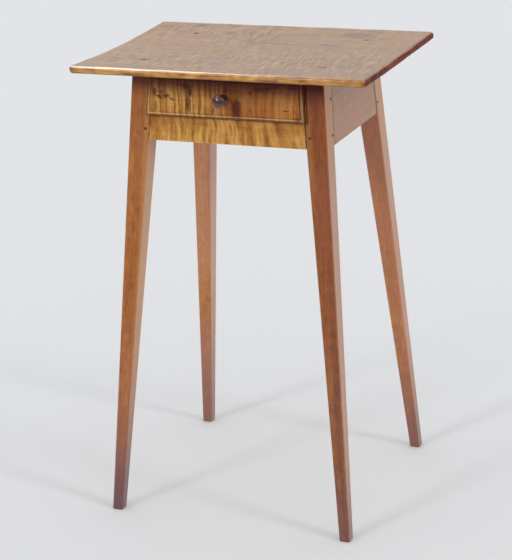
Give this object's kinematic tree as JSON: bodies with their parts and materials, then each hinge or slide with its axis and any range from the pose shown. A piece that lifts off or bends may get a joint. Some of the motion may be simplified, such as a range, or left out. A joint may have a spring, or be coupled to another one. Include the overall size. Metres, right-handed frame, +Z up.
{
  "type": "splay-leg table with drawer",
  "caption": "Small wooden table with splayed tapered legs, a cupped overhanging top of curly maple and a lipped dovetailed drawer with a turned knob.",
  "frame": {"origin": "on the floor, at the middle of the four feet", "axes": "+Z up, +X to the right of a person who faces the drawer, +Y to the back; the drawer opens along -Y"},
  "size_m": [0.462, 0.3828, 0.7108],
  "materials": {
    "top_maple": "old shellac, satin",
    "front_maple": "old shellac, satin",
    "leg_cherry": "old shellac, satin",
    "apron_cherry": "old shellac, satin",
    "plain_wood": "bare, matt",
    "knob_wood": "worn, glossy",
    "peg_wood": "satin",
    "nail_iron": "dark, matt"
  },
  "bodies": {
    "table": {"top_board": "top_maple", "front_rail": "front_maple", "runner_nails": "nail_iron", "leg_front_left": "leg_cherry", "leg_front_right": "leg_cherry", "leg_back_left": "leg_cherry", "leg_back_right": "leg_cherry", "left_apron": "apron_cherry", "right_apron": "apron_cherry", "back_apron": "apron_cherry", "top_pegs": "peg_wood", "front_rail_pegs": "peg_wood", "back_apron_pegs": "peg_wood", "left_apron_pegs": "peg_wood", "right_apron_pegs": "peg_wood", "left_runner": "plain_wood", "right_runner": "plain_wood", "left_guide": "plain_wood", "right_guide": "plain_wood"},
    "drawer": {"drawer_front": "front_maple", "drawer_left_side": "plain_wood", "drawer_right_side": "plain_wood", "drawer_back": "plain_wood", "drawer_bottom": "plain_wood", "drawer_bottom_nails": "nail_iron", "drawer_knob": "knob_wood"}
  },
  "joints": [
    {"name": "drawer_slide", "type": "slide", "parent": "table", "child": "drawer", "axis": [0, -1, 0], "range_m": [0, 0.15]}
  ]
}
